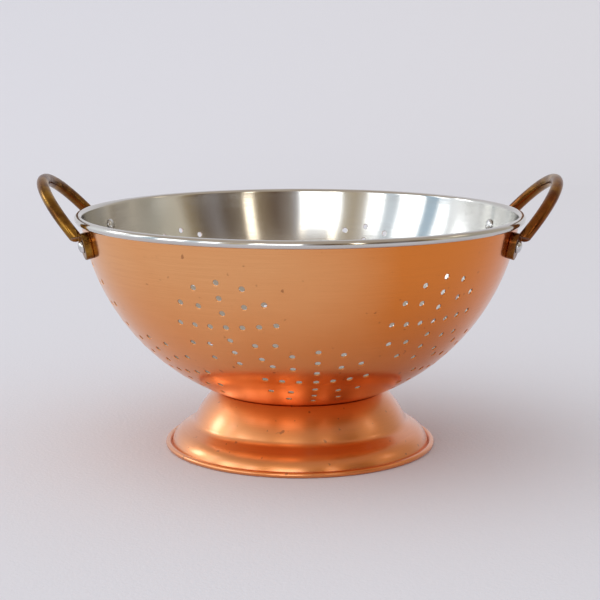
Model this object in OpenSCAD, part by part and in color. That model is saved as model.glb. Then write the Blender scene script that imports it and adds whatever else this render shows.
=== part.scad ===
// Footed copper colander: a copper bowl with a steel lining, on a flared copper foot, with two
// riveted brass handles.
// Millimetres. Origin on the floor under the centre of the foot, +Z up, handles along X, front along -Y.

/* [Bowl] */
// Radius of the bowl's outside, which is part of a sphere
bowl_r = 127.6; // [110:0.2:145]
// Height of the bowl's lowest point above the floor
bowl_lift = 23.6; // [22:0.1:26]
// Thickness of the copper
copper_gauge = 0.5; // [0.4:0.1:0.8]
// Thickness of the steel lining
steel_gauge = 0.5; // [0.4:0.1:0.8]
// Drop from the middle of the bowl's sphere to the middle of the rim bead
rim_drop = 15.7; // [8:0.1:24]
// Diameter of the rolled rim bead
rim_bead_d = 4.6; // [3.6:0.1:6]

/* [Drain holes] */
// Diameter of a drain hole
drain_d = 3.2; // [2:0.1:4]
// Distance from one ring of holes to the next in a rosette
ring_pitch = 9.2; // [7.5:0.1:9.6]
// Number of rosettes in each of the two rows around the bowl
rosettes_per_row = 6; // [3:1:6]
// Angle from the bottom of the bowl up to the middle of an upper rosette
upper_tilt = 60.7; // [59:0.1:64]
// Angle from the bottom of the bowl up to the middle of a lower rosette
lower_tilt = 40.9; // [38:0.1:42]
// Angle from the front round to the first upper rosette
upper_turn = -20.3; // [-24:0.1:-18]
// Angle from the front round to the first lower rosette
lower_turn = 6; // [4:0.1:14]
// Slight turn of every rosette about its own middle
rosette_twist = 2; // [-5:0.5:5]

/* [Foot] */
// Thickness of the foot's copper
foot_gauge = 0.8; // [0.6:0.1:1]
// Radius at which the foot folds away from the bowl
neck_r = 48.4; // [44:0.1:50]
// Inner radius of the flange that lies against the bowl
seat_r = 38; // [34:0.5:40]
// Outer radius of the fold between flange and wall
neck_bend = 1.3; // [1.1:0.1:1.6]
// Radius of the long curve below the neck
upper_curve = 51.6; // [48:0.1:54]
// Outer radius of the hollow at the waist
waist_curve = 6.3; // [5:0.1:7]
// Radius of the curve of the skirt
skirt_curve = 13.3; // [12:0.1:14]
// Height at which the skirt's curve ends
heel_z = 2.65; // [2.4:0.05:3]
// Diameter of the rolled bead on which the foot stands
foot_bead_d = 3.2; // [2.8:0.1:3.6]

/* [Handles] */
// Diameter of the brass rod
rod_d = 6.8; // [5:0.1:8]
// Distance between the two legs of a handle
handle_span = 88; // [76:1:96]
// Slope of the handle's arch above the horizontal
handle_slope = 49.6; // [44:0.1:56]
// How far the arch's middle stands out from the bowl's outside
arch_offset = 3.1; // [2.8:0.1:4]
// Thickness of the flattened end that lies against the bowl
tab_gauge = 4.2; // [3:0.1:5]
// Width of the flattened end
tab_w = 11.5; // [10:0.5:13]
// Radius of the flat that is cut around each rivet
spot_r = 6; // [5.8:0.1:6.6]

/* [Rivets] */
// Angle of a rivet below the bowl's horizontal middle
rivet_drop = 12.3; // [12:0.1:14]
// Diameter of a rivet's shank
rivet_d = 3.6; // [3:0.1:4]
// Diameter of a rivet's head
head_d = 7.2; // [6:0.1:8]
// Height of the outer head
outer_head_h = 2.4; // [1.5:0.1:3]
// Height of the inner head
inner_head_h = 1.6; // [1:0.1:2.5]

/* [Hidden] */
$fn = 96;
bowl_fn = 240;               // finer, because the bowl's layers are thin

gap = 0.05;                  // clearance between pieces that touch
overshoot = 2;               // how far a cutter runs past what it cuts
wall = copper_gauge + gap + steel_gauge;

// Bowl: radii about the middle of the sphere
bowl_z = bowl_lift + bowl_r;
copper_in_r = bowl_r - copper_gauge;
liner_r = copper_in_r - gap;
liner_in_r = liner_r - steel_gauge;

// Rim: the bead's inner side lines up with the lining's inner face
rim_z = bowl_z - rim_drop;
rim_bead_r = rim_bead_d / 2;
rim_ring_r = sqrt(liner_in_r * liner_in_r - rim_drop * rim_drop) + rim_bead_r;
curl_open = [184, 246];      // angles between which the rim's curl is open, underneath
copper_tuck = 1.7;           // the copper ends in the curl's opening, this far below its middle
copper_top = rim_z - copper_tuck;

// Drain holes: each rosette is a middle hole and three rings around it
ring_counts = [1, 4, 8, 12];
front = -90;                 // azimuth of the front, from +X

// Foot: the angle of the outer face's normal above the horizontal, from the neck down to the heel
neck_a = 48.2;
waist_a = 24.7;
ledge_a = 61.7;
heel_a = 15.6;
seat_out_r = bowl_r + gap;
seat_tilt = asin(seat_r / seat_out_r);
neck_tilt = asin(neck_r / seat_out_r);
fold_start = [neck_r, under_bowl(neck_r)];
neck = curve_out(fold_start, neck_bend, 90 + neck_tilt, neck_a);
waist = curve_out(neck, upper_curve, neck_a, waist_a);
ledge = curve_in(waist, waist_curve, waist_a, ledge_a);
ledge_len = (ledge[1] - heel_z - skirt_curve * (sin(ledge_a) - sin(heel_a))) / cos(ledge_a);
skirt = ledge + ledge_len * along(ledge_a);
heel = curve_out(skirt, skirt_curve, ledge_a, heel_a);
toe = heel + heel_z / cos(heel_a) * along(heel_a);
foot_bead_r = foot_bead_d / 2;
foot_ring_r = toe[0] + foot_bead_r;
foot_curl_open = [205, 248]; // angles between which the foot's curl is open, towards the skirt
sole_inset = 0.25;           // the flat underside ends this far inside the bead's middle
sole_r = foot_ring_r - sole_inset;
sole_h = foot_gauge + 3 * gap;
arc_step = 2;                // degrees between points of the foot's curves

// Solder: a fillet between the flange's inner edge and the bowl
solder_out_r = seat_r - gap;
solder_w = 2.5;
solder_in_r = solder_out_r - solder_w;
solder_edge = 0.1;           // its thickness at the inner edge

// Handles: an arch whose ends start beside the rivets
arch_r = handle_span / 2;
rivet_z = bowl_z - bowl_r * sin(rivet_drop);
rivet_turn = asin(arch_r / (bowl_r * cos(rivet_drop)));
arch_drop = 1.6;             // the arch's ends start this far below the rivets
arch_z = rivet_z - arch_drop;
arch_x = sqrt((bowl_r + arch_offset) ^ 2 - arch_r ^ 2 - (bowl_z - arch_z) ^ 2);
tab_down = 2;                // how far the tab's lower round lies below the rivet
tab_up = 1.75;               // and its upper round above it
rivet_hole_d = rivet_d + 0.2;
head_edge = 0.35;            // thickness of a rivet head at its edge

// Unit vector at angle a above the horizontal, and the one that runs down a wall with that normal
function normal(a) = [cos(a), sin(a)];
function along(a) = [sin(a), -cos(a)];

// Where an outer face ends that curves about a middle inside the foot, as its normal turns from a to b
function curve_out(p, r, a, b) = p + r * [cos(b) - cos(a), sin(b) - sin(a)];

// Where an outer face ends that curves about a middle outside the foot
function curve_in(p, r, a, b) = p - r * [cos(b) - cos(a), sin(b) - sin(a)];

// Height just under the bowl at a distance r from the axis
function under_bowl(r) = bowl_z - sqrt(seat_out_r ^ 2 - r ^ 2);

// Points along an arc of radius r about c, with its normal turning from a to b
function arc(c, r, a, b) =
    let (steps = ceil(abs(b - a) / arc_step))
    [for (i = [0 : steps]) let (t = a + (b - a) * i / steps) c + r * [cos(t), sin(t)]];

// A list back to front
function reversed(list) = [for (i = [len(list) - 1 : -1 : 0]) list[i]];

// One face of the foot's sheet from the flange down to the heel, a distance in from its outer face
function foot_face(depth) = concat(
    arc([0, bowl_z], seat_out_r + depth, seat_tilt - 90, neck_tilt - 90),
    arc(fold_start - neck_bend * normal(90 + neck_tilt), neck_bend - depth, 90 + neck_tilt, neck_a),
    arc(neck - upper_curve * normal(neck_a), upper_curve - depth, neck_a, waist_a),
    arc(waist + waist_curve * normal(waist_a), waist_curve + depth, waist_a + 180, ledge_a + 180),
    arc(skirt - skirt_curve * normal(ledge_a), skirt_curve - depth, ledge_a, heel_a)
);

// A rolled edge: a tube of sheet that is open between two angles
module curl(r, gauge, open) {
    difference() {
        circle(r, $fn = 48);
        circle(r - gauge, $fn = 48);
        polygon([[0, 0], 2 * r * [cos(open[0]), sin(open[0])], 2 * r * [cos(open[1]), sin(open[1])]]);
    }
}

// A layer of the bowl between two radii, up to a given height
module bowl_layer(r_in, r_out, top) {
    difference() {
        translate([0, 0, bowl_z]) sphere(r_out, $fn = bowl_fn);
        translate([0, 0, bowl_z]) sphere(r_in, $fn = bowl_fn);
        translate([-bowl_r, -bowl_r, top]) cube([2 * bowl_r, 2 * bowl_r, bowl_r + bowl_z]);
    }
}

// One drain hole, through both layers at the bottom of the bowl
module drain_hole() {
    translate([0, 0, -bowl_r - overshoot]) cylinder(h = wall + 2 * overshoot, d = drain_d, $fn = 24);
}

// A rosette of drain holes about the bottom of the bowl
module rosette() {
    for (ring = [0 : len(ring_counts) - 1])
        for (i = [0 : ring_counts[ring] - 1])
            rotate([0, 0, i * 360 / ring_counts[ring] - rosette_twist])
                rotate([0, -ring * ring_pitch / bowl_r * 180 / PI, 0])
                    drain_hole();
}

// A row of rosettes around the bowl, tilted up from its bottom
module rosette_row(tilt, turn) {
    for (i = [0 : rosettes_per_row - 1])
        rotate([0, 0, front + turn + i * 360 / rosettes_per_row])
            rotate([0, -tilt, 0])
                rosette();
}

// Every drain hole of the bowl
module drain_holes() {
    translate([0, 0, bowl_z]) {
        rosette();
        rosette_row(lower_tilt, lower_turn);
        rosette_row(upper_tilt, upper_turn);
    }
}

// Places its children on the bowl's outside at one rivet, with z outwards and x down the bowl
module at_rivet(turn) {
    translate([0, 0, bowl_z])
        rotate([0, 0, turn])
            rotate([0, 90 + rivet_drop, 0])
                translate([0, 0, bowl_r])
                    children();
}

// Places its children at the four rivets
module at_rivets() {
    for (turn = [rivet_turn, -rivet_turn, 180 - rivet_turn, 180 + rivet_turn])
        at_rivet(turn) children();
}

// The holes for the rivets in the bowl
module rivet_holes() {
    at_rivets()
        translate([0, 0, -wall - overshoot])
            cylinder(h = wall + 2 * overshoot, d = rivet_hole_d, $fn = 32);
}

// Outer copper of the bowl
module copper_bowl() {
    color("#c9733c") difference() {
        bowl_layer(copper_in_r, bowl_r, copper_top);
        drain_holes();
        rivet_holes();
    }
}

// Steel lining, with the rim that it curls outwards over
module steel_liner() {
    color("#c8ccd1") difference() {
        union() {
            bowl_layer(liner_in_r, liner_r, rim_z);
            rotate_extrude($fn = bowl_fn)
                translate([rim_ring_r, rim_z])
                    curl(rim_bead_r, steel_gauge, curl_open);
        }
        drain_holes();
        rivet_holes();
    }
}

// Section of the spun foot, from the flange under the bowl to the flat underside
module foot_section() {
    groove = [toe[0] - sole_h * tan(heel_a), sole_h];
    inner_toe = [toe[0] - foot_gauge / cos(heel_a), 0];
    sole = [groove, [sole_r, sole_h], [sole_r, 0], inner_toe];
    polygon(concat(foot_face(0), sole, reversed(foot_face(foot_gauge))));
}

// Flared copper foot, which stands on a rolled bead
module foot() {
    color("#c96a34") union() {
        rotate_extrude() foot_section();
        rotate_extrude() translate([foot_ring_r, foot_bead_r]) curl(foot_bead_r, foot_gauge, foot_curl_open);
    }
}

// Ring of solder that holds the foot's flange to the bowl, hidden inside the foot
module foot_solder() {
    flange_z = bowl_z - sqrt((seat_out_r + foot_gauge) ^ 2 - seat_r ^ 2);
    color("#9a9da1") rotate_extrude() polygon([
        [solder_in_r, under_bowl(solder_in_r) - solder_edge],
        [solder_out_r, flange_z],
        [solder_out_r, under_bowl(solder_out_r)],
        [solder_in_r, under_bowl(solder_in_r)]
    ]);
}

// Outline of a tab, a bar with two round ends
module tab_outline() {
    translate([tab_down, 0]) circle(d = tab_w);
    translate([-tab_up, 0]) circle(d = tab_w);
    translate([-tab_up, -tab_w / 2]) square([tab_down + tab_up, tab_w]);
}

// One brass handle, on the +X side
module handle() {
    turns = [rivet_turn, -rivet_turn];
    difference() {
        union() {
            translate([arch_x, 0, arch_z])
                rotate([0, -handle_slope, 0])
                    rotate([0, 0, -90])
                        rotate_extrude(angle = 180)
                            translate([arch_r, 0])
                                circle(d = rod_d, $fn = 48);
            for (turn = turns)
                at_rivet(turn)
                    translate([0, 0, -overshoot])
                        linear_extrude(tab_gauge + overshoot)
                            tab_outline();
        }
        for (turn = turns)
            at_rivet(turn) {
                translate([0, 0, tab_gauge]) cylinder(h = 3 * rod_d, r = spot_r);
                translate([0, 0, -overshoot])
                    cylinder(h = tab_gauge + 2 * overshoot, d = rivet_hole_d, $fn = 32);
            }
        translate([0, 0, bowl_z]) sphere(seat_out_r, $fn = bowl_fn);
    }
}

// Handle on the right
module handle_right() {
    color("#97702f") handle();
}

// Handle on the left
module handle_left() {
    color("#97702f") mirror([1, 0, 0]) handle();
}

// Half section of a domed rivet head that stands on the r axis
module head_section(h) {
    dome_h = h - head_edge;
    dome_r = (head_d * head_d / 4 + dome_h * dome_h) / (2 * dome_h);
    intersection() {
        translate([0, h - dome_r]) circle(dome_r);
        square([head_d / 2, h]);
    }
}

// One rivet, from the head inside the bowl to the head on the handle's tab
module rivet() {
    head_sag = 2 * gap;
    inner_z = -wall - gap - head_sag;
    outer_z = tab_gauge + gap;
    rotate_extrude($fn = 48) {
        translate([0, outer_z]) head_section(outer_head_h);
        translate([0, inner_z]) mirror([0, 1]) head_section(inner_head_h);
        translate([0, inner_z]) square([rivet_d / 2, outer_z - inner_z]);
    }
}

// The four steel rivets
module rivets() {
    color("#b9bcc0") at_rivets() rivet();
}

copper_bowl();
steel_liner();
foot();
foot_solder();
handle_right();
handle_left();
rivets();
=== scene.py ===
"""Fine meshes, metal finishes, light and camera for the footed copper colander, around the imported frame.

Lengths are in metres. The bowl is part of a sphere, and its layers, holes and rim are read from the frame.
"""
import math

import bmesh
import bpy
import numpy as np
from mathutils import Euler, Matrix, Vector
from mathutils.geometry import delaunay_2d_cdt


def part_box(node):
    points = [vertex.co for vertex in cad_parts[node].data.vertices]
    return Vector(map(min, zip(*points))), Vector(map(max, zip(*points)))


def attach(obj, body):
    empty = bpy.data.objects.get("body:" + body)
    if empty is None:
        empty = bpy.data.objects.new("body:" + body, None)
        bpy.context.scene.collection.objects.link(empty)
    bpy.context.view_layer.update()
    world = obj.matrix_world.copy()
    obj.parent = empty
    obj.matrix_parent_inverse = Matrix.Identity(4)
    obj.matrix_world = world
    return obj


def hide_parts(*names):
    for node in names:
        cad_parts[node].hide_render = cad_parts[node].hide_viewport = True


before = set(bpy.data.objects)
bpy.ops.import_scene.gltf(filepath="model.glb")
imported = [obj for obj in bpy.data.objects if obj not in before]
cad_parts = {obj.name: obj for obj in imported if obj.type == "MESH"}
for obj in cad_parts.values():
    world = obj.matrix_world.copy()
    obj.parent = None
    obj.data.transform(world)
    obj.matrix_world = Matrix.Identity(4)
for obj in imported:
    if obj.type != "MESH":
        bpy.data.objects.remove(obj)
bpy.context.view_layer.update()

MM = 0.001
RIM_STEPS = 360             # points around a full circle of the bowl, the rim and the foot
HOLE_STEPS = 20             # points around a drain hole
FINE_GRID = 3.0 * MM        # distance between points of a visible face of the bowl
COARSE_GRID = 5.0 * MM      # the same for a face that another layer hides
HOLE_CLEARANCE = 0.45       # share of that distance between a point and a hole's edge
LARGEST_DRAIN_R = 1.75 * MM  # a wider hole than this is a rivet's
NEARLY = 0.1 * MM           # how far a point of the frame may be off a surface that it belongs to
SAME_PLACE = 0.01 * MM      # points of a profile closer than this count as one
HOLE_REACH = 4.5 * MM       # around a point on a hole's edge, this takes in that edge and no other


# ---------------------------------------------------------------- what the frame says

def vertices(node_name):
    """A CAD node's vertices as rows of x, y and z."""
    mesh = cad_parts[node_name].data
    points = np.empty(len(mesh.vertices) * 3)
    mesh.vertices.foreach_get("co", points)
    return points.reshape(-1, 3)


def length(rows):
    """The length of each row's vector."""
    return np.linalg.norm(rows, axis=-1)


def unit(rows):
    """Each row's vector at length 1."""
    return rows / length(rows)[..., None]


def bowl_sphere():
    """Height of the middle of the bowl's sphere, and its outer radius."""
    points = vertices("copper_bowl")
    low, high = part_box("copper_bowl")
    depth = high.z - low.z
    rough_r = (high.x ** 2 + depth ** 2) / (2 * depth)
    rough_middle = (0, 0, low.z + rough_r)
    outer = points[length(points - rough_middle) > rough_r - NEARLY]
    known = np.stack((2 * outer[:, 2], np.ones(len(outer))), 1)
    middle_z, rest = np.linalg.lstsq(known, (outer ** 2).sum(1), rcond=None)[0]
    return middle_z, math.sqrt(rest + middle_z ** 2)


def rim_bead():
    """Height of the rim bead's middle, its own radius and the radius of the ring it makes.
    The bead's inner side lies on the lining's inner face at that height, which a few rounds settle."""
    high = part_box("steel_liner")[1]
    bead_r = 0.0
    for _ in range(8):
        drop = BOWL_Z - high.z + bead_r
        bead_r = (high.x - math.sqrt(LINER_IN_R ** 2 - drop ** 2)) / 2
    return high.z - bead_r, bead_r, high.x - bead_r


BOWL_Z, COPPER_R = bowl_sphere()
MIDDLE = np.array((0, 0, BOWL_Z))
COPPER_IN_R = length(vertices("copper_bowl") - MIDDLE).min()
COPPER_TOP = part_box("copper_bowl")[1].z
liner_points = vertices("steel_liner")
liner_reach = length(liner_points[liner_points[:, 2] < BOWL_Z / 2] - MIDDLE)
LINER_R, LINER_IN_R = liner_reach.max(), liner_reach.min()
LINER_SHEET = LINER_R - LINER_IN_R
RIM_Z, BEAD_R, RING_R = rim_bead()


def find_holes():
    """Every hole in the copper, as (unit axis from the bowl's middle, radius)."""
    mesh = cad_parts["copper_bowl"].data
    corners = np.array([p.vertices[:3] for p in mesh.polygons])
    points = vertices("copper_bowl") - MIDDLE
    a, b, c = (points[corners[:, i]] for i in range(3))
    face_normal = unit(np.cross(b - a, c - a) + 1e-20)
    face_out = unit(a + b + c)

    # Faces that stand across the skin are walls of holes, but for the skin's flat top
    painted_shade_across = np.abs((face_normal * face_out).sum(1)) < 0.3
    flat_top = np.abs(face_normal[:, 2]) > 0.99
    walls = points[np.unique(corners[painted_shade_across & ~flat_top])]
    edge = walls[length(walls) > COPPER_R - 0.5 * NEARLY]
    holes = []
    while len(edge):
        near = length(edge - edge[0]) < HOLE_REACH
        plane = np.linalg.lstsq(edge[near], np.ones(near.sum()), rcond=None)[0]
        height = 1 / length(plane)
        holes.append((plane * height, math.sqrt(COPPER_R ** 2 - height ** 2)))
        edge = edge[~near]
    return holes


HOLES = find_holes()
RIVET_AXES = [axis for axis, radius in HOLES if radius > LARGEST_DRAIN_R]


# ---------------------------------------------------------------- mesh building

class Surface:
    """The points, normals and faces of one piece while it is put together."""

    def __init__(self):
        self.points, self.normals, self.faces = [], [], []

    def add(self, points, normals):
        """Adds points with their normals, and returns their numbers."""
        first = len(self.points)
        self.points.extend(np.asarray(points).tolist())
        self.normals.extend(np.asarray(normals).tolist())
        return list(range(first, len(self.points)))

    def band(self, a, b):
        """Joins two closed loops of the same length with quads."""
        self.faces += zip(a, a[1:] + a[:1], b[1:] + b[:1], b)

    def bands(self, loops):
        for a, b in zip(loops, loops[1:]):
            self.band(a, b)

    def disc(self, loop):
        self.faces.append(tuple(loop))

    def build(self, name, finish, node_name):
        """Makes the piece, with its finish, in place of a CAD node."""
        mesh = bpy.data.meshes.new(name)
        mesh.from_pydata(self.points, [], self.faces)
        work = bmesh.new()
        work.from_mesh(mesh)
        bmesh.ops.recalc_face_normals(work, faces=work.faces)
        work.to_mesh(mesh)
        work.free()
        mesh.shade_smooth()
        mesh.normals_split_custom_set_from_vertices(self.normals)
        piece = bpy.data.objects.new(name, mesh)
        bpy.context.scene.collection.objects.link(piece)
        settle(piece, finish, node_name)


def settle(piece, finish, node_name):
    """Puts a piece on the body, with its finish, in place of a CAD node."""
    piece.data.materials.clear()
    piece.data.materials.append(finish)
    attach(piece, "root")
    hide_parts(node_name)


def turns(count):
    """Cosines and sines of even steps around a circle."""
    angles = np.arange(count) * 2 * math.pi / count
    return np.cos(angles), np.sin(angles)


def turned(surface, profile, steps=RIM_STEPS):
    """A loop around Z for each (radius, height, normal outwards, normal upwards) of a profile.
    A row at the same place as the one before it is left out."""
    c, s = turns(steps)
    loops, last = [], None
    for r, z, out, up in profile:
        if last is not None and math.dist(last, (r, z)) < SAME_PLACE:
            continue
        last = (r, z)
        size = math.hypot(out, up)
        points = np.stack((r * c, r * s, np.full(steps, z)), 1)
        normals = np.stack((out * c, out * s, np.full(steps, up)), 1) / size
        loops.append(surface.add(points, normals))
    return loops


def arc(centre, radius, start, end, step, side=1):
    """Points of a profile along an arc between two angles in degrees, at most a step apart.
    Side is -1 if the normal looks at the arc's middle."""
    count = max(1, math.ceil(abs(end - start) / step))
    for i in range(count + 1):
        angle = math.radians(start + (end - start) * i / count)
        c, s = math.cos(angle), math.sin(angle)
        yield (centre[0] + radius * c, centre[1] + radius * s, side * c, side * s)


def sideways(axis):
    """Two unit vectors across an axis."""
    helper = np.array((0, 0, 1.0)) if abs(axis[2]) < 0.9 else np.array((1.0, 0, 0))
    first = unit(np.cross(helper, axis))
    return first, np.cross(axis, first)


def hole_ring(surface, axis, away, shell_r, lean):
    """A loop around a hole, at a distance from its axis, on a sphere about the bowl's middle.
    Lean turns its normals from straight out of the bowl, at 0, to straight at the axis, at 90 degrees."""
    c, s = turns(HOLE_STEPS)
    first, second = sideways(axis)
    outwards = c[:, None] * first + s[:, None] * second
    points = away * outwards + axis * math.sqrt(shell_r ** 2 - away ** 2)
    lean = math.radians(lean)
    normals = math.cos(lean) * unit(points) - math.sin(lean) * outwards
    return surface.add(points + MIDDLE, normals)


def cap(surface, shell_r, top, loops, side, grid):
    """Fills a sphere's bottom up to a height, but for the holes inside the given loops.
    Returns its edge. Side is 1 for a face that looks out of the bowl and -1 for one that looks in."""
    end = math.acos((BOWL_Z - top) / shell_r)
    rings = round(end * shell_r / grid)
    middles = np.array([axis for axis, radius in HOLES])
    inner = []
    for k in range(1, rings):
        tilt = end * k / rings
        c, s = turns(round(2 * math.pi * math.sin(tilt) * shell_r / grid) + 4)
        down = np.full(len(c), -math.cos(tilt))
        inner.append(np.stack((math.sin(tilt) * c, math.sin(tilt) * s, down), 1))
    inner = np.concatenate(inner)
    reach = length(np.array([surface.points[loop[0]] for loop in loops]) - MIDDLE - middles * shell_r)
    away = length(inner[:, None] - middles[None]) * shell_r
    inner = inner[(away > reach + HOLE_CLEARANCE * grid).all(1)]
    c, s = turns(RIM_STEPS)
    rim = np.stack((math.sin(end) * c, math.sin(end) * s, np.full(RIM_STEPS, -math.cos(end))), 1)

    # Seen from the top of the sphere, the bowl flattens to a disc in which circles stay circles
    edge = surface.add(rim * shell_r + MIDDLE, side * rim)
    fill = surface.add(inner * shell_r + MIDDLE, side * inner)
    numbers, owner, borders = [], [], []
    for k, loop in enumerate([edge] + loops):
        first = len(numbers)
        numbers += loop
        owner += [k] * len(loop)
        borders += [(first + i, first + (i + 1) % len(loop)) for i in range(len(loop))]
    numbers += fill
    owner += [0] * len(fill)
    directions = unit(np.array([surface.points[i] for i in numbers]) - MIDDLE)
    flat = directions[:, :2] / (1 - directions[:, 2:])
    made = delaunay_2d_cdt(flat.tolist(), borders, [], 0, 1e-9)
    came_from = [group[0] for group in made[3]]
    for triangle in made[2]:
        a, b, c = (came_from[i] for i in triangle)
        in_hole = owner[a] == owner[b] == owner[c] and owner[a] > 0
        if not in_hole:
            surface.faces.append((numbers[a], numbers[b], numbers[c]))
    return edge


# ---------------------------------------------------------------- materials

def node(tree, kind, inputs=None, **settings):
    """Adds a shader node. An input is a value or another node's output."""
    made = tree.nodes.new("ShaderNode" + kind)
    for key, value in settings.items():
        setattr(made, key, value)
    for key, value in (inputs or {}).items():
        if isinstance(value, bpy.types.NodeSocket):
            tree.links.new(value, made.inputs[key])
        else:
            made.inputs[key].default_value = value
    return made


def maths(tree, operation, a, b=0.0):
    """A sum on one or two values."""
    return node(tree, "Math", {0: a, 1: b}, operation=operation).outputs[0]


def noise(tree, place, scale, detail=2.0, roughness=0.5):
    """Noise, mostly from 0.2 to 0.8. Scale is about how many lumps there are to a unit of place."""
    inputs = {"Vector": place, "Scale": scale, "Detail": detail, "Roughness": roughness}
    return node(tree, "TexNoise", inputs).outputs[0]


def stretch(tree, value, low, high, to_low, to_high, kind="LINEAR"):
    """Maps a range of a value onto another, and holds it there."""
    inputs = {"Value": value, "From Min": low, "From Max": high, "To Min": to_low, "To Max": to_high}
    return node(tree, "MapRange", inputs, interpolation_type=kind).outputs[0]


def blend(tree, share, a, b):
    """Mixes two colours: the first at share 0, the second at share 1."""
    made = node(tree, "Mix", data_type="RGBA")
    for key, value in ((0, share), (6, a), (7, b)):
        if isinstance(value, bpy.types.NodeSocket):
            tree.links.new(value, made.inputs[key])
        else:
            made.inputs[key].default_value = value if key == 0 else (*value, 1)
    return made.outputs[2]


def bump(tree, height, distance, normal=None):
    """Bends the normal as if the surface rose by this distance where height is 1."""
    inputs = {"Height": height, "Distance": distance}
    if normal is not None:
        inputs["Normal"] = normal
    return node(tree, "Bump", inputs).outputs[0]


def new_metal(name):
    """A material with one metal shader, and the place on the object."""
    material = bpy.data.materials.new(name)
    material.use_nodes = True
    tree = material.node_tree
    tree.nodes.clear()
    shader = node(tree, "BsdfPrincipled", {"Metallic": 1.0})
    output = node(tree, "OutputMaterial")
    tree.links.new(shader.outputs[0], output.inputs[0])
    place = node(tree, "TexCoord").outputs["Object"]
    return material, tree, shader, place


def connect(tree, shader, **values):
    """Sets inputs of the shader, named with _ for a space."""
    for key, value in values.items():
        socket = shader.inputs[key.replace("_", " ")]
        if isinstance(value, bpy.types.NodeSocket):
            tree.links.new(value, socket)
        else:
            socket.default_value = value


def round_places(tree, place, climb):
    """For a piece spun about Z: the distance along its section, the cosine and sine of the place around it,
    and the height. Climb is 1 where the section widens upwards and -1 where it widens downwards."""
    x, y, z = node(tree, "SeparateXYZ", {0: place}).outputs
    squares = maths(tree, "ADD", maths(tree, "MULTIPLY", x, x), maths(tree, "MULTIPLY", y, y))
    radius = maths(tree, "SQRT", squares)
    radius = maths(tree, "MAXIMUM", radius, MM)
    along = maths(tree, "ADD", radius, maths(tree, "MULTIPLY", z, climb))
    cosine, sine = maths(tree, "DIVIDE", x, radius), maths(tree, "DIVIDE", y, radius)
    return along, cosine, sine, z


def spun_lines(tree, along, cosine, sine, reach, pitch, detail=2.0):
    """Noise drawn out into lines around Z. Reach is how much they change on the way round, and pitch
    how close they lie."""
    vector = node(tree, "CombineXYZ", {
        0: maths(tree, "MULTIPLY", cosine, reach),
        1: maths(tree, "MULTIPLY", sine, reach),
        2: maths(tree, "DIVIDE", along, pitch),
    }).outputs[0]
    return noise(tree, vector, 1.0, detail, 0.6)


def brushed(tree, shader, amount):
    """Draws highlights out across the spun lines."""
    tangent = node(tree, "Tangent", direction_type="RADIAL", axis="Z").outputs[0]
    connect(tree, shader, Anisotropic=amount, Anisotropic_Rotation=0.25, Tangent=tangent)


# The second copper colour is a paler painted haze of reflected window light, not a tone of the metal
COPPER, PAINTED_HAZE_COPPER = (0.82, 0.245, 0.04), (0.91, 0.44, 0.18)
COPPER_IN_LINES, COPPER_TARNISH = (0.55, 0.17, 0.04), (0.22, 0.07, 0.03)
STEEL, CLOUDY_STEEL, STEEL_IN_LINES = (0.72, 0.71, 0.69), (0.66, 0.64, 0.6), (0.5, 0.49, 0.47)
BRASS, BROWN_BRASS = (0.4, 0.21, 0.035), (0.13, 0.05, 0.012)
RED_BRASS, BRASS_GRIME = (0.2, 0.045, 0.012), (0.06, 0.028, 0.01)
RIVET, RIVET_IN_MARKS = (0.74, 0.74, 0.75), (0.5, 0.49, 0.47)
TIN, DARK_TIN = (0.45, 0.45, 0.47), (0.26, 0.25, 0.25)
# Cloth colours on the left and on the right: the darker right one is painted shade, not a colour of the
# cloth
CLOTH_PAINTED_LIGHT_LEFT, CLOTH_PAINTED_SHADE_RIGHT = (0.765, 0.76, 0.8), (0.68, 0.665, 0.68)


def copper_finish(name, roughness, coat, lines, climb, brush):
    """Spun, polished copper with faint lines, smudges and small tarnish spots, under old lacquer.
    Its colour is painted paler on the front left, most of all near the top, as a painted reflection of the
    bright windows on that side, with random cloudy tone mixed in. Coat is how much lacquer there is, lines
    the depth of the spun lines, and brush how far they draw out a highlight."""
    material, tree, shader, place = new_metal(name)
    along, cosine, sine, z = round_places(tree, place, climb)
    fine = spun_lines(tree, along, cosine, sine, 4.0, 0.45 * MM)
    broad = spun_lines(tree, along, cosine, sine, 1.6, 3.0 * MM, 1.0)
    clouds = noise(tree, place, 14.0, 3.0)
    smudges = noise(tree, place, 38.0, 4.0, 0.65)
    # Painted reflection: paler towards the front left and the top, where the windows would show, plus
    # random cloudy tone
    to_left, to_front = maths(tree, "MULTIPLY", cosine, -0.8), maths(tree, "MULTIPLY", sine, 0.45)
    painted_haze_and_tone = maths(tree, "SUBTRACT", to_left, to_front)
    painted_haze_and_tone = stretch(tree, painted_haze_and_tone, -0.1, 0.7, 0.0, 1.0, "SMOOTHSTEP")
    painted_haze_and_tone = maths(tree, "MULTIPLY", painted_haze_and_tone, stretch(tree, z, 0.03, 0.12, 0.35, 1.0))
    painted_haze_and_tone = maths(tree, "ADD", painted_haze_and_tone, stretch(tree, clouds, 0.35, 0.7, -0.15, 0.15))
    colour = blend(tree, painted_haze_and_tone, COPPER, PAINTED_HAZE_COPPER)
    colour = blend(tree, stretch(tree, fine, 0.3, 0.7, 0.0, 0.16), colour, COPPER_IN_LINES)
    specks = stretch(tree, noise(tree, place, 260.0, 1.0), 0.73, 0.78, 0.0, 0.55)
    colour = blend(tree, specks, colour, COPPER_TARNISH)
    rough = maths(tree, "ADD", roughness, stretch(tree, smudges, 0.35, 0.75, -0.03, 0.05))
    rough = maths(tree, "ADD", rough, stretch(tree, fine, 0.3, 0.7, -0.02, 0.03))
    normal = bump(tree, fine, lines)
    normal = bump(tree, broad, 0.01 * MM, normal)
    normal = bump(tree, noise(tree, place, 22.0, 1.0), 0.35 * MM, normal)
    connect(tree, shader, Base_Color=colour, Roughness=rough, Normal=normal)
    connect(tree, shader, Coat_Weight=coat, Coat_Roughness=0.2, Coat_IOR=1.7)
    brushed(tree, shader, brush)
    return material


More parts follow.
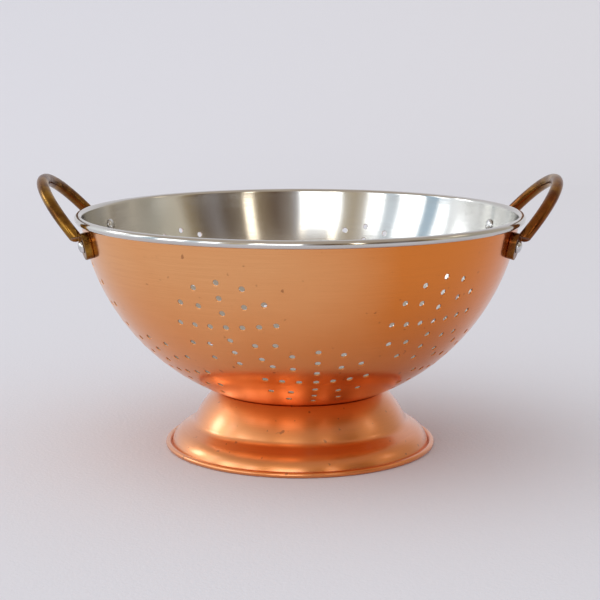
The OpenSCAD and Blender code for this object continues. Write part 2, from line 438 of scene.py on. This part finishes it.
def steel_finish():
    """Spun stainless steel: fine circular brush lines inside the bowl, and a brighter, smoother rim."""
    material, tree, shader, place = new_metal("spun_steel")
    along, cosine, sine, z = round_places(tree, place, 1.0)
    fine = spun_lines(tree, along, cosine, sine, 5.0, 0.5 * MM, 3.0)
    broad = spun_lines(tree, along, cosine, sine, 1.2, 3.5 * MM, 1.0)
    clouds = noise(tree, place, 16.0, 3.0)
    on_rim = stretch(tree, z, RIM_Z - 2.0 * MM, RIM_Z + 0.6 * MM, 0.0, 1.0)
    colour = blend(tree, stretch(tree, clouds, 0.3, 0.7, 0.0, 1.0), STEEL, CLOUDY_STEEL)
    colour = blend(tree, stretch(tree, fine, 0.3, 0.7, 0.0, 0.3), colour, STEEL_IN_LINES)
    rough = maths(tree, "ADD", 0.16, stretch(tree, fine, 0.3, 0.7, -0.03, 0.05))
    rough = maths(tree, "ADD", rough, stretch(tree, clouds, 0.35, 0.7, -0.02, 0.03))
    rough = maths(tree, "SUBTRACT", rough, maths(tree, "MULTIPLY", on_rim, 0.05))
    normal = bump(tree, fine, 0.006 * MM)
    normal = bump(tree, broad, 0.02 * MM, normal)
    normal = bump(tree, noise(tree, place, 24.0, 1.0), 0.4 * MM, normal)
    connect(tree, shader, Base_Color=colour, Roughness=rough, Normal=normal)
    brushed(tree, shader, 0.85)
    return material


def brass_finish():
    """Old brass: golden where hands rub it, brown and reddish where it has tarnished."""
    material, tree, shader, place = new_metal("aged_brass")
    patches = noise(tree, place, 60.0, 4.0, 0.6)
    grain = noise(tree, place, 420.0, 3.0, 0.6)
    blotches = noise(tree, place, 26.0, 2.0)
    colour = blend(tree, stretch(tree, patches, 0.36, 0.62, 0.0, 1.0), BRASS, BROWN_BRASS)
    colour = blend(tree, stretch(tree, blotches, 0.45, 0.62, 0.0, 0.7), colour, RED_BRASS)
    colour = blend(tree, stretch(tree, grain, 0.52, 0.72, 0.0, 0.5), colour, BRASS_GRIME)
    rough = maths(tree, "ADD", 0.2, stretch(tree, patches, 0.3, 0.7, -0.05, 0.1))
    normal = bump(tree, grain, 0.03 * MM)
    normal = bump(tree, patches, 0.12 * MM, normal)
    connect(tree, shader, Base_Color=colour, Roughness=rough, Normal=normal)
    return material


def rivet_finish():
    """Steel heads with small hammer and rubbing marks."""
    material, tree, shader, place = new_metal("rivet_steel")
    marks = noise(tree, place, 520.0, 3.0, 0.6)
    clouds = noise(tree, place, 160.0, 1.0)
    colour = blend(tree, stretch(tree, marks, 0.4, 0.7, 0.0, 1.0), RIVET, RIVET_IN_MARKS)
    rough = maths(tree, "ADD", 0.2, stretch(tree, marks, 0.3, 0.7, -0.03, 0.12))
    normal = bump(tree, marks, 0.02 * MM)
    normal = bump(tree, clouds, 0.12 * MM, normal)
    connect(tree, shader, Base_Color=colour, Roughness=rough, Normal=normal)
    return material


def solder_finish():
    """Dull, wiped tin solder."""
    material, tree, shader, place = new_metal("tin_solder")
    lumps = noise(tree, place, 240.0, 4.0, 0.6)
    colour = blend(tree, stretch(tree, lumps, 0.35, 0.65, 0.0, 1.0), TIN, DARK_TIN)
    rough = stretch(tree, lumps, 0.3, 0.7, 0.38, 0.6)
    connect(tree, shader, Base_Color=colour, Roughness=rough, Normal=bump(tree, lumps, 0.1 * MM))
    return material


# ---------------------------------------------------------------- pieces

LIP_W, LIP_H = 0.5 * MM, 0.28 * MM      # the copper rolls over this far into each drain hole
CUT_W = CUT_H = 0.1 * MM                # and this far into a rivet's hole, which is drilled
RIM_CURL_END = -114                     # angle at which the rim's curl ends, underneath
BURR_W, BURR_H = 0.4 * MM, 0.1 * MM     # the steel is pushed up around each hole inside


def copper_bowl(finish):
    """The outer copper skin, with a soft lip at each drain hole."""
    surface = Surface()
    outer, inner = [], []
    for axis, radius in HOLES:
        lip_w, lip_h = (LIP_W, LIP_H) if radius < LARGEST_DRAIN_R else (CUT_W, CUT_H)
        rings = []
        for turn in (0, 22, 45, 68, 90):
            c, s = math.cos(math.radians(turn)), math.sin(math.radians(turn))
            lean = math.degrees(math.atan2(s / lip_w, c / lip_h))
            away, shell_r = radius + lip_w * (1 - s), COPPER_R - lip_h * (1 - c)
            rings.append(hole_ring(surface, axis, away, shell_r, lean))
        rings.append(hole_ring(surface, axis, radius, COPPER_IN_R, 90))
        surface.bands(rings)
        outer.append(rings[0])
        inner.append(rings[-1])
    top_out = cap(surface, COPPER_R, COPPER_TOP, outer, 1, FINE_GRID)
    top_in = cap(surface, COPPER_IN_R, COPPER_TOP, inner, -1, COARSE_GRID)
    surface.band(top_out, top_in)
    surface.build("bowl_skin", finish, "copper_bowl")


def steel_liner(finish):
    """The lining, with a slight burr around each hole inside, and the rim bead that it is rolled into."""
    surface = Surface()
    outer, inner = [], []
    for axis, radius in HOLES:
        rings = [
            hole_ring(surface, axis, radius, LINER_R, 90),
            hole_ring(surface, axis, radius, LINER_IN_R, 90),
            hole_ring(surface, axis, radius + 0.25 * BURR_W, LINER_IN_R - BURR_H, 180),
            hole_ring(surface, axis, radius + 0.5 * BURR_W, LINER_IN_R - 0.8 * BURR_H, 200),
            hole_ring(surface, axis, radius + BURR_W, LINER_IN_R, 180),
        ]
        surface.bands(rings)
        outer.append(rings[0])
        inner.append(rings[-1])
    lean = math.degrees(math.asin((BOWL_Z - RIM_Z) / LINER_IN_R))
    tube_r = BEAD_R - LINER_SHEET
    middle = (RING_R, RIM_Z)
    bead = list(arc(middle, BEAD_R, 180 - lean, RIM_CURL_END, 8))[1:]
    tube = list(arc(middle, tube_r, RIM_CURL_END, 180 - lean, 20, -1))[:-1]
    rise = math.sin(math.radians(lean))
    top_in = cap(surface, LINER_IN_R, RIM_Z + BEAD_R * rise, inner, -1, FINE_GRID)
    top_out = cap(surface, LINER_R, RIM_Z + tube_r * rise, outer, 1, COARSE_GRID)
    surface.bands([top_in] + turned(surface, bead + tube) + [top_out])
    surface.build("steel_lining", finish, "steel_liner")


# Section of the foot, as in the CAD model: radii of the outer face, and angles of its normal above
# the horizontal
FOOT_SHEET = 0.8 * MM
NECK_R, SEAT_R = 48.4 * MM, 38.0 * MM
NECK_BEND, UPPER_CURVE, WAIST_CURVE, SKIRT_CURVE = 1.3 * MM, 51.6 * MM, 6.3 * MM, 13.3 * MM
NECK_A, WAIST_A, LEDGE_A, HEEL_A = 48.2, 24.7, 61.7, 15.6
HEEL_Z = 2.65 * MM
FOOT_BEAD_R, SOLE_H = 1.6 * MM, 0.95 * MM
FOOT_CURL_END, FOOT_CURL_START = 205, 248
SEAT_GAP = 0.05 * MM                    # the flange and the solder leave this much under the bowl


def foot_faces():
    """The foot's outer and inner faces from the flange down to the heel, and the radius at the floor."""
    def rad(a):
        """The way out from an arc's middle, at an angle."""
        return np.array((math.cos(math.radians(a)), math.sin(math.radians(a))))

    def down(a):
        """The way down along a face whose normal is at an angle."""
        return np.array((math.sin(math.radians(a)), -math.cos(math.radians(a))))

    seat_r = COPPER_R + SEAT_GAP
    seat_tilt = math.degrees(math.asin(SEAT_R / seat_r))
    neck_tilt = math.degrees(math.asin(NECK_R / seat_r))
    fold = np.array((NECK_R, BOWL_Z - math.sqrt(seat_r ** 2 - NECK_R ** 2)))
    bend_a = 90 + neck_tilt
    neck = fold + NECK_BEND * (rad(NECK_A) - rad(bend_a))
    waist = neck + UPPER_CURVE * (rad(WAIST_A) - rad(NECK_A))
    ledge = waist - WAIST_CURVE * (rad(LEDGE_A) - rad(WAIST_A))
    rise = SKIRT_CURVE * (rad(LEDGE_A) - rad(HEEL_A))[1]
    skirt = ledge + (ledge[1] - HEEL_Z - rise) / math.cos(math.radians(LEDGE_A)) * down(LEDGE_A)
    heel = skirt + SKIRT_CURVE * (rad(HEEL_A) - rad(LEDGE_A))
    toe = heel + HEEL_Z / math.cos(math.radians(HEEL_A)) * down(HEEL_A)

    def face(depth, side):
        """One face of the sheet, at a depth under the outer one. The radii are the outer face's."""
        rows = list(arc((0, BOWL_Z), seat_r + depth, seat_tilt - 90, neck_tilt - 90, 1.2, -side))
        rows += arc(fold - NECK_BEND * rad(bend_a), NECK_BEND - depth, bend_a, NECK_A, 12, side)
        rows += arc(neck - UPPER_CURVE * rad(NECK_A), UPPER_CURVE - depth, NECK_A, WAIST_A, 1.2, side)
        hollow = waist + WAIST_CURVE * rad(WAIST_A)
        rows += arc(hollow, WAIST_CURVE + depth, WAIST_A + 180, LEDGE_A + 180, 4, -side)
        rows += arc(skirt - SKIRT_CURVE * rad(LEDGE_A), SKIRT_CURVE - depth, LEDGE_A, HEEL_A, 3, side)
        return rows

    return face(0, 1), face(FOOT_SHEET, -1), toe[0]


def copper_foot(finish):
    """The spun foot: a flange under the bowl, a hollow waist, a skirt, and a bead rolled out and up."""
    surface = Surface()
    outer, inner, toe_r = foot_faces()
    middle = (toe_r + FOOT_BEAD_R, FOOT_BEAD_R)
    tube_r = FOOT_BEAD_R - FOOT_SHEET
    bead = [(toe_r - SOLE_H * math.tan(math.radians(HEEL_A)), SOLE_H, 0.5, 1)]
    bead += arc(middle, tube_r, FOOT_CURL_START - 360, FOOT_CURL_END, 15, -1)
    bead += arc(middle, FOOT_BEAD_R, FOOT_CURL_END, -90, 8)
    sole = [(toe_r - FOOT_SHEET / math.cos(math.radians(HEEL_A)), 0, -0.5, -1)]
    loops = turned(surface, outer + bead + sole + inner[::-1])
    surface.bands(loops + loops[:1])
    surface.build("spun_foot", finish, "foot")


HANDLE_GRID, WEAR_ROUNDS = 0.3 * MM, 6  # size of a handle's faces, and how much its edges are worn


def handle(node_name, name, finish):
    """A brass handle: the CAD shape with its edges worn round."""
    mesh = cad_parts[node_name].data.copy()
    piece = bpy.data.objects.new(name, mesh)
    bpy.context.scene.collection.objects.link(piece)
    remesh = piece.modifiers.new("remesh", "REMESH")
    remesh.mode = "VOXEL"
    remesh.voxel_size = HANDLE_GRID
    remesh.use_smooth_shade = True
    smooth = piece.modifiers.new("smooth", "SMOOTH")
    smooth.factor, smooth.iterations = 0.5, WEAR_ROUNDS
    graph = bpy.context.evaluated_depsgraph_get()
    forged = bpy.data.meshes.new_from_object(piece.evaluated_get(graph), depsgraph=graph)
    piece.modifiers.clear()
    piece.data = forged
    forged.name = name
    settle(piece, finish, node_name)


HEAD_EDGE, HEAD_SIDE = 0.15 * MM, 0.2 * MM  # rounding under a rivet head, and height where its dome starts
HEAD_STEPS, DOME_STEPS = 48, 9


def rivets(finish):
    """The four rivets: domed heads outside and inside, on a shank through the tab and both layers."""
    surface = Surface()
    points = vertices("rivets") - MIDDLE
    for axis in RIVET_AXES:
        own = points[(points @ axis) > 0.98 * length(points)]
        height = own @ axis
        away = length(own - height[:, None] * axis)
        head_r = away.max()
        wide = height[away > 0.98 * head_r]
        out_base, in_base = wide[wide > COPPER_R].min(), wide[wide < COPPER_R].max()
        shank_r = away[np.abs(height - in_base) < NEARLY].min()
        first, second = sideways(axis)
        c, s = turns(HEAD_STEPS)
        outwards = c[:, None] * first + s[:, None] * second
        loops = []
        for base, tip, way in ((in_base, height.min(), -1), (out_base, height.max(), 1)):
            rise = abs(tip - base)
            dome = [(shank_r, 0, 0, -1), (head_r - HEAD_EDGE, 0, 0.3, -1), (head_r, HEAD_EDGE, 1, -0.2)]
            for k in range(DOME_STEPS):
                angle = math.radians(8 + 9.5 * k)
                share = math.cos(angle)
                up = HEAD_SIDE + (rise - HEAD_SIDE) * math.sin(angle)
                dome.append((head_r * share, up, share / head_r, math.sin(angle) / rise))
            rings = []
            for r, up, out, normal_up in dome:
                size = math.hypot(out, normal_up)
                ring = r * outwards + (base + way * up) * axis
                normals = (out * outwards + way * normal_up * axis) / size
                rings.append(surface.add(ring + MIDDLE, normals))
            surface.bands(rings)
            surface.disc(rings[-1])
            loops.append(rings[0])
        surface.band(loops[0], loops[1])
    surface.build("rivet_set", finish, "rivets")


SOLDER_EDGE = 0.1 * MM                  # thickness of the solder at its inner edge
SOLDER_STEPS = 180


def solder(finish):
    """The lumpy ring of solder between the foot's flange and the bowl."""
    surface = Surface()
    low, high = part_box("foot_solder")
    outer_r = high.x
    points = vertices("foot_solder")
    inner_r = length(points[:, :2]).min()
    seat_r = COPPER_R + SEAT_GAP
    flange_z = low.z
    c, s = turns(SOLDER_STEPS)
    around = np.arctan2(s, c)
    swell = 0.5 + 0.2 * np.sin(7 * around + 0.6) + 0.15 * np.sin(17 * around + 2.0)
    swell += 0.1 * np.sin(31 * around)
    loops = []
    half_way = 0.5 * (inner_r + outer_r)
    lower_rows = [(inner_r, 1.0), (half_way, 1.0), (outer_r, 1.0)]
    for r, lower in [(inner_r, 0.0)] + lower_rows + [(outer_r, 0.0), (half_way, 0.0)]:
        top = BOWL_Z - math.sqrt(seat_r ** 2 - r ** 2)
        share = (r - inner_r) / (outer_r - inner_r)
        thick = SOLDER_EDGE + share * (top - flange_z - SOLDER_EDGE)
        wave = 1 + 0.5 * math.sin(math.pi * share) * swell
        z = top - lower * thick * wave
        ring = np.stack((r * c, r * s, z), 1)
        normals = np.tile((0, 0, -1.0 if lower else 1.0), (SOLDER_STEPS, 1))
        loops.append(surface.add(ring, normals))
    surface.bands(loops + loops[:1])
    surface.build("solder_ring", finish, "foot_solder")


copper_bowl(copper_finish("bowl_copper", 0.19, 0.1, 0.004 * MM, 1.0, 0.5))
steel_liner(steel_finish())
copper_foot(copper_finish("foot_copper", 0.33, 0.9, 0.003 * MM, -1.0, 0.3))
brass = brass_finish()
handle("handle_right", "handle_loop_right", brass)
handle("handle_left", "handle_loop_left", brass)
rivets(rivet_finish())
solder(solder_finish())


# ---------------------------------------------------------------- stage, light and camera

STAGE_R, STAGE_STEPS = 1.6, 128         # the flat floor, and the curve of the backdrop beyond it
CAMERA_AT = (0, -895 * MM, 241.8 * MM)
CAMERA_DOWN, LENS = 9.92, 92.85         # degrees, and millimetres on a sensor 36 mm wide
CLOTH, CEILING = (0.7, 0.69, 0.72), (0.5, 0.43, 0.36)   # as the metal mirrors them
DAY, LAMP = (0.93, 0.97, 1.0), (1.0, 0.88, 0.7)
SOFT_LIGHT, SOFT_KEY = (0.67, 0.67, 0.69), (1.35, 1.35, 1.38)
KEY_AT, KEY_SIZE = (70.0, 40.0), (15.0, 75.0)   # degrees left and up, and where it starts and ends to fade
WALLS_END, CEILING_FROM = 28.0, 40.0    # degrees up
SOFT_EDGE = 1.0                         # half the width, in degrees, of the soft edge of a window

# Colours of the walls around, by degrees to the left of the front
WALLS = (
    (-125, (0.5, 0.45, 0.38)), (-92, (0.45, 0.42, 0.35)), (-74, (0.7, 0.64, 0.52)),
    (-69, (0.36, 0.28, 0.17)), (-60, (0.17, 0.13, 0.1)), (-51, (0.26, 0.23, 0.22)),
    (-44, (0.15, 0.11, 0.08)), (-36, (0.24, 0.19, 0.14)), (-24, (0.3, 0.22, 0.13)),
    (-14, (0.13, 0.08, 0.05)), (-7, (0.3, 0.25, 0.21)), (0, (0.6, 0.6, 0.64)),
    (25, (0.7, 0.65, 0.55)), (33, (0.55, 0.46, 0.33)), (39, (0.8, 0.76, 0.7)),
    (52, (0.8, 0.9, 1.0)), (58, (0.8, 0.9, 1.0)), (78, (0.5, 0.66, 0.8)), (84, (0.5, 0.66, 0.8)),
    (95, (1.1, 1.15, 1.2)), (125, (0.9, 0.93, 0.97)),
)
# Windows and lamps: degrees left and up, width and height in degrees, colour, strength
WINDOWS = (
    ((-29.5, 21), (6, 26), LAMP, 3.0),
    ((12, 14), (25, 26), DAY, 3.0),
    ((45, 14), (10, 26), DAY, 3.0),
    ((67, 14), (16, 28), DAY, 3.0),
    ((89, 20), (8, 28), DAY, 2.5),
    ((108, 21), (12, 13), DAY, 6.0),
    ((-93, 30), (10, 10), LAMP, 1.8),
    ((21, 31), (5, 5), LAMP, 4.0),
    ((1, 28), (4, 4), LAMP, 3.0),
)


def cloth():
    """The floor's finish: pale, finely woven cloth, its colour painted darker towards the right as painted
    shade of light falling off away from the left.
    """
    material = bpy.data.materials.new("pale_cloth")
    material.use_nodes = True
    tree = material.node_tree
    shader = tree.nodes["Principled BSDF"]
    place = node(tree, "TexCoord").outputs["Object"]
    weave = noise(tree, place, 420.0, 2.0, 0.6)
    painted_shade_across = node(tree, "SeparateXYZ", {0: place}).outputs[0]
    # Painted shade: the cloth's colour darkens from left to right
    painted_shade_across = stretch(tree, painted_shade_across, -0.6, 1.2, 0.0, 1.0)
    colour = blend(tree, painted_shade_across, CLOTH_PAINTED_LIGHT_LEFT, CLOTH_PAINTED_SHADE_RIGHT)
    connect(tree, shader, Base_Color=colour, Roughness=0.9, Normal=bump(tree, weave, 0.25 * MM),
            Specular_IOR_Level=0.1)
    return material


def stage():
    """A wide floor, and a backdrop that rises from it all round and that only the camera sees."""
    finish = cloth()
    flat, rise = Surface(), Surface()
    flat.disc(turned(flat, [(STAGE_R, 0, 0, 1)], STAGE_STEPS)[0])
    rise.bands(turned(rise, arc((STAGE_R, STAGE_R), STAGE_R, -90, -5, 5, -1), STAGE_STEPS))
    for name, surface in (("floor", flat), ("backdrop", rise)):
        mesh = bpy.data.meshes.new(name)
        mesh.from_pydata(surface.points, [], surface.faces)
        mesh.shade_smooth()
        mesh.materials.append(finish)
        piece = bpy.data.objects.new(name, mesh)
        bpy.context.scene.collection.objects.link(piece)
    backdrop = bpy.data.objects["backdrop"]
    backdrop.visible_diffuse = backdrop.visible_glossy = backdrop.visible_shadow = False


def facing(tree, direction, at, size):
    """1 for directions near the one at these degrees left and up, falling to 0 further away."""
    left, up = (math.radians(angle) for angle in at)
    toward = (-math.sin(left) * math.cos(up), -math.cos(left) * math.cos(up), math.sin(up))
    near = node(tree, "VectorMath", {0: direction, 1: toward}, operation="DOT_PRODUCT").outputs["Value"]
    inside, outside = (math.cos(math.radians(angle)) for angle in size)
    return stretch(tree, near, outside, inside, 0.0, 1.0, "SMOOTHSTEP")


def room():
    """Light from all round. Angles are in degrees, to the left of the front and up.
    The cloth gets soft light, mostly from the left. The metal mirrors a room with windows and lamps."""
    world = bpy.data.worlds.new("room")
    bpy.context.scene.world = world
    world.use_nodes = True
    tree = world.node_tree
    tree.nodes.clear()
    direction = node(tree, "TexCoord").outputs["Generated"]
    x, y, z = node(tree, "SeparateXYZ", {0: direction}).outputs
    left = maths(tree, "ARCTAN2", maths(tree, "MULTIPLY", x, -1.0), maths(tree, "MULTIPLY", y, -1.0))
    left = maths(tree, "DEGREES", left)
    up = maths(tree, "DEGREES", maths(tree, "ARCSINE", z))

    walls = node(tree, "ValToRGB", {0: stretch(tree, left, -180.0, 180.0, 0.0, 1.0)})
    ramp = walls.color_ramp
    while len(ramp.elements) > 1:
        ramp.elements.remove(ramp.elements[0])
    ramp.elements[0].position, ramp.elements[0].color = 0.0, (*CLOTH, 1)
    for angle, colour in WALLS:
        ramp.elements.new((angle + 180) / 360).color = (*colour, 1)
    on_ceiling = stretch(tree, up, WALLS_END, CEILING_FROM, 0.0, 1.0)
    total = blend(tree, on_ceiling, walls.outputs[0], CEILING)

    # The cloth hangs behind the colander too
    behind = stretch(tree, maths(tree, "ABSOLUTE", left), 125.0, 150.0, 0.0, 1.0)
    behind = maths(tree, "MULTIPLY", behind, stretch(tree, up, 50.0, 75.0, 1.0, 0.0))
    total = blend(tree, behind, total, CLOTH)

    for at, size, colour, strength in WINDOWS:
        masks = []
        for value, middle, width in ((left, at[0], size[0]), (up, at[1], size[1])):
            off = maths(tree, "ABSOLUTE", maths(tree, "SUBTRACT", value, middle))
            inside, outside = width / 2 - SOFT_EDGE, width / 2 + SOFT_EDGE
            masks.append(stretch(tree, off, inside, outside, 1.0, 0.0, "SMOOTHSTEP"))
        mask = maths(tree, "MULTIPLY", masks[0], masks[1])
        total = blend(tree, mask, total, tuple(strength * c for c in colour))

    soft = blend(tree, facing(tree, direction, KEY_AT, KEY_SIZE), SOFT_LIGHT, SOFT_KEY)
    path = node(tree, "LightPath").outputs
    mirrored = maths(tree, "MULTIPLY", path["Is Glossy Ray"],
                     maths(tree, "LESS_THAN", path["Diffuse Depth"], 0.5))
    total = blend(tree, mirrored, soft, total)
    background = node(tree, "Background", {"Color": total})
    output = node(tree, "OutputWorld")
    tree.links.new(background.outputs[0], output.inputs[0])


def camera():
    """A little above the bowl and under a metre in front of it, looking slightly down along +Y."""
    data = bpy.data.cameras.new("camera")
    data.sensor_width = 36
    data.lens = LENS
    data.clip_end = 100
    piece = bpy.data.objects.new("camera", data)
    piece.location = CAMERA_AT
    piece.rotation_euler = Euler((math.radians(90 - CAMERA_DOWN), 0, 0))
    bpy.context.scene.collection.objects.link(piece)
    bpy.context.scene.camera = piece


stage()
room()
camera()
bpy.context.scene.view_settings.view_transform = "Standard"
